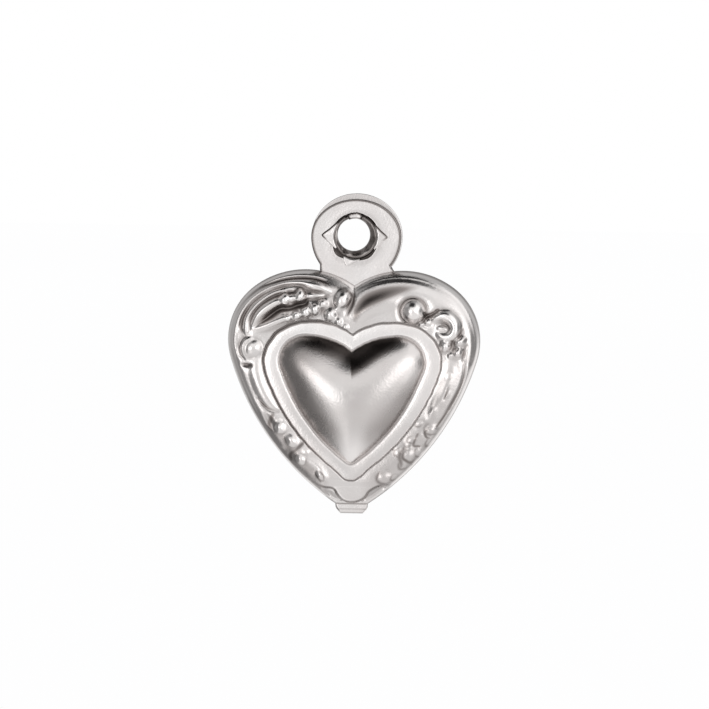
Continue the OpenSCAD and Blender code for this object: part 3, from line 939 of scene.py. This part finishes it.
def make_strip(name):
    """The strip at the tip, bent double. The slit between its two layers stays open a hair."""
    skin = Skin()
    top_z = EDGE[HALF][1] + 0.03
    stations = np.concatenate([[-0.8, -0.795, -0.78, -0.75], np.linspace(-0.7, 0.7, 29),
                               [0.75, 0.78, 0.795, 0.8]])
    rows = []
    for x in stations:
        off = abs(x)
        bottom = EDGE[HALF][1] - 0.5 + max(0.0, off - 0.55) ** 1.2 * 1.4
        tuck = 0.03 * smoothstep(0.74, 0.8, off)
        bend_z = bottom + SHEET
        outer, inner = [], []
        for z in np.linspace(top_z, bend_z, 9):
            # a faint crease across each layer, above the bend
            dent = 0.02 * math.exp(-((z - EDGE[HALF][1] + 0.27) / 0.03) ** 2)
            outer.append((-SHEET + tuck + dent, z))
            inner.append((-0.012, z))
        for a in np.linspace(0, 180, 15)[1:-1]:
            a = math.radians(a)
            outer.append((-(SHEET - tuck) * math.cos(a), bend_z - (SHEET - tuck) * math.sin(a)))
            inner.append((-0.012 * math.cos(a), bend_z - 0.012 * math.sin(a)))
        for z in np.linspace(bend_z, top_z, 9):
            outer.append((SHEET - tuck, z))
            inner.append((0.012, z))
        y, z = np.transpose(outer + inner[::-1])
        drop = EDGE[HALF][1] - z
        # painted shade: dark lines at the crease and where the strip meets the heart, darker at its ends
        # and round the bend
        shade = 0.15 + 0.6 * np.exp(-((drop - 0.27) / 0.03) ** 2) + 0.7 * np.exp(-(drop / 0.04) ** 2)
        shade = shade + 0.4 * (off > 0.77) + 0.3 * smoothstep(0.42, 0.5, drop)
        rows.append(skin.ring(x, y, z, np.clip(shade, 0, 1)))
    for a, b in zip(rows, rows[1:]):
        skin.join(a, b)
    n = len(rows[0])
    for row, flip in ((rows[0], False), (rows[-1], True)):
        for i in range(n // 2 - 1):
            face = [int(row[i]), int(row[i + 1]), int(row[n - 2 - i]), int(row[n - 1 - i])]
            skin.faces.append(face[::-1] if flip else face)
    return skin.object(name)


# ---------------------------------------------------------------- materials
def nodes_of(owner):
    owner.use_nodes = True
    tree = owner.node_tree
    tree.nodes.clear()

    def add(kind, sockets=None, **values):
        node = tree.nodes.new(kind)
        for key, value in values.items():
            setattr(node, key, value)
        for key, value in (sockets or {}).items():
            node.inputs[key].default_value = value
        return node

    return tree, add, tree.links.new


# sockets of a Mix node for colours, and of one for single values
MIX_FROM, MIX_TO, MIX_OUT = 6, 7, 2
VALUE_FROM, VALUE_TO = 2, 3


def silver_material():
    material = bpy.data.materials.new("silver_plate")
    tree, add, link = nodes_of(material)
    out = add("ShaderNodeOutputMaterial")
    shader = add("ShaderNodeBsdfPrincipled", {"Metallic": 1.0})
    link(shader.outputs[0], out.inputs[0])
    place = add("ShaderNodeTexCoord").outputs["Object"]

    def noise(per_mm, detail=2.0, rough=0.5):
        values = {"Scale": per_mm / MM, "Detail": detail, "Roughness": rough}
        node = add("ShaderNodeTexNoise", values)
        link(place, node.inputs["Vector"])
        return node.outputs[0]

    def spread(value, low, high, to_low, to_high):
        ends = {"From Min": low, "From Max": high, "To Min": to_low, "To Max": to_high}
        node = add("ShaderNodeMapRange", ends)
        link(value, node.inputs["Value"])
        return node.outputs[0]

    def towards(colour, share):
        node = add("ShaderNodeMix", data_type="RGBA")
        node.inputs[MIX_TO].default_value = colour
        link(share, node.inputs[0])
        return node

    # colour: silver, a touch warmer in patches, then darkened by the painted shade attribute to a dull
    # grey and at last nearly black
    tint = towards((0.935, 0.905, 0.895, 1), spread(noise(0.5, 3.0), 0.35, 0.65, 0, 1))
    tint.inputs[MIX_FROM].default_value = (0.96, 0.945, 0.938, 1)
    shade = add("ShaderNodeAttribute", attribute_name="shade").outputs["Fac"]
    shaded_grey = towards((0.3, 0.275, 0.265, 1), spread(shade, 0.0, 1.0, 0.0, 1.0))
    link(tint.outputs[MIX_OUT], shaded_grey.inputs[MIX_FROM])
    black = towards((0.035, 0.028, 0.025, 1), spread(shade, 1.0, 2.0, 0.0, 1.0))
    link(shaded_grey.outputs[MIX_OUT], black.inputs[MIX_FROM])
    link(black.outputs[MIX_OUT], shader.inputs["Base Color"])
    # finish: bright plate with a faint haze
    haze = add("ShaderNodeMath", operation="ADD")
    link(spread(noise(1.4, 4.0), 0.3, 0.7, 0.17, 0.25), haze.inputs[0])
    link(spread(shade, 0.0, 1.0, 0.0, 0.08), haze.inputs[1])
    link(haze.outputs[0], shader.inputs["Roughness"])
    # fine grain over a soft unevenness
    grain = add("ShaderNodeBump", {"Strength": 0.6, "Distance": 0.013 * MM})
    link(noise(9.0, 3.0, 0.6), grain.inputs["Height"])
    uneven = add("ShaderNodeBump", {"Strength": 0.5, "Distance": 0.015 * MM})
    link(noise(1.3, 1.0), uneven.inputs["Height"])
    link(uneven.outputs[0], grain.inputs["Normal"])
    link(grain.outputs[0], shader.inputs["Normal"])
    return material


# ---------------------------------------------------------------- surroundings
def direction(az, el):
    """A direction by its angle to the right of the camera's side of the charm, and upwards."""
    az, el = math.radians(az), math.radians(el)
    return (math.sin(az) * math.cos(el), -math.cos(az) * math.cos(el), math.sin(el))


# Soft-edged round patches of the room, each painted over the ones before it:
# azimuth, elevation, radius of its even part, width of its soft rim, brightness
PATCHES = [
    (0, -90, 80, 30, 0.86),
    (180, 0, 70, 30, 0.62),
    (180, 35, 16, 16, 0.12),
    (180, 75, 22, 20, 0.9),
    (150, -20, 16, 14, 0.95),
    (-150, -10, 20, 16, 0.9),
    (-92, 0, 45, 11, 0.28),
    (-70, 45, 20, 20, 0.24),
    (0, 122, 25, 18, 0.45),
    (-125, 0, 24, 14, 0.45),
    (-110, 50, 20, 16, 0.45),
    (-18, 74, 20, 15, 0.02),
    (95, 5, 20, 14, 0.26),
    (130, 25, 16, 14, 0.5),
    (64, 36, 15, 13, 1.2),
    (38, 6, 13, 12, 1.9),
    (-27, -2, 8, 12, 2.2),
    (2, -4, 9, 13, 0.8),
    (-22, -36, 5, 12, 1.15),
    (56, -17, 7, 6, 1.35),
]
ROOM = 1.02


def make_room():
    world = bpy.data.worlds.new("room")
    bpy.context.scene.world = world
    tree, add, link = nodes_of(world)
    way = add("ShaderNodeTexCoord").outputs["Generated"]
    value = None
    for az, el, radius, rim, bright in PATCHES:
        dot = add("ShaderNodeVectorMath", operation="DOT_PRODUCT")
        dot.inputs[1].default_value = direction(az, el)
        link(way, dot.inputs[0])
        angle = add("ShaderNodeMath", operation="ARCCOSINE")
        link(dot.outputs["Value"], angle.inputs[0])
        ends = {"From Min": math.radians(radius + rim), "From Max": math.radians(radius)}
        share = add("ShaderNodeMapRange", ends, interpolation_type="SMOOTHSTEP")
        link(angle.outputs[0], share.inputs["Value"])
        mix = add("ShaderNodeMix", {VALUE_FROM: ROOM, VALUE_TO: bright}, data_type="FLOAT")
        if value is not None:
            link(value, mix.inputs[VALUE_FROM])
        link(share.outputs["Result"], mix.inputs[0])
        value = mix.outputs[0]
    room = add("ShaderNodeBackground", {"Color": (1.0, 0.985, 0.98, 1)})
    link(value, room.inputs["Strength"])
    plain = add("ShaderNodeBackground", {"Color": (1, 1, 1, 1)})
    seen = add("ShaderNodeLightPath")
    pick = add("ShaderNodeMixShader")
    link(seen.outputs["Is Camera Ray"], pick.inputs[0])
    link(room.outputs[0], pick.inputs[1])
    link(plain.outputs[0], pick.inputs[2])
    out = add("ShaderNodeOutputWorld")
    link(pick.outputs[0], out.inputs[0])


def make_floor():
    skin = Skin()
    size, z = 3000.0, -34.0
    ring = skin.ring([-size, size, size, -size], [-size, -size, size, size], z)
    skin.faces.append(ring.tolist())
    floor = skin.object("floor")
    material = bpy.data.materials.new("floor_white")
    tree, add, link = nodes_of(material)
    out = add("ShaderNodeOutputMaterial")
    glow = add("ShaderNodeEmission")
    noise = add("ShaderNodeTexNoise", {"Scale": 4.0})
    share = add("ShaderNodeMix", data_type="RGBA")
    share.inputs[MIX_FROM].default_value = (1, 1, 1, 1)
    share.inputs[MIX_TO].default_value = (0.985, 0.985, 0.99, 1)
    link(noise.outputs[0], share.inputs[0])
    link(share.outputs[MIX_OUT], glow.inputs["Color"])
    link(glow.outputs[0], out.inputs[0])
    floor.data.materials.append(material)
    floor.visible_glossy = False
    floor.visible_diffuse = False


# ---------------------------------------------------------------- put together
bpy.context.scene.view_settings.view_transform = "Standard"
make_room()
make_floor()
silver = silver_material()


def add_piece(piece, *stands_for):
    piece.data.materials.append(silver)
    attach(piece, BODY)
    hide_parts(*stands_for)


relief = make_ornament()
front = make_shell("front_relief", relief)
back = make_shell("back_relief", relief)
back.data.transform(Matrix.Rotation(math.pi, 4, "Z"))
add_piece(front, "front_shell")
add_piece(back, "back_shell")
# the front leaf's pierced hole has torn wider below, on both sides of the bottom petal
torn = 0.13 * np.exp(-((LEAF_ANGLES - math.radians(223)) / 0.3) ** 2)
torn += 0.06 * np.exp(-((LEAF_ANGLES - math.radians(306)) / 0.3) ** 2)
whole = np.full(len(LEAF_ANGLES), 1.05)
# each leaf's painted shade on face, rim and hole: the back leaf is shaded darker behind the front one,
# and black round its hole, seen through the torn gap
add_piece(make_leaf("front_leaf", -SHEET, 2.25, 1.87, 0.04, 1.17 + torn, 0.08, (0.1, 1.7, 0.2)),
          "front_eye")
add_piece(make_leaf("back_leaf", 0.0, 2.27, 2.16, 0.07, whole, 0.04, (0.35, 0.35, 1.5)),
          "back_eye")
add_piece(make_collar("collar"), "clinch_collar")
# each petal's side, direction, reach, half angles, lean and inner radius
PETALS = [
    ("left", 180, 1.74, 64, 32, -2, 1.03),
    ("right", 0, 1.64, 34, 61, 0, 1.05),
    ("top", 90, 1.27, 19, 21, -2, 0.9),
    ("bottom", -90, 1.6, 31, 12, -16, 1.1),
]
for seed, (side, *shape) in enumerate(PETALS, start=1):
    add_piece(make_petal(side + "_petal", *shape, seed), "petal_" + side)
add_piece(make_strip("tip_strip"), "fold_strip")
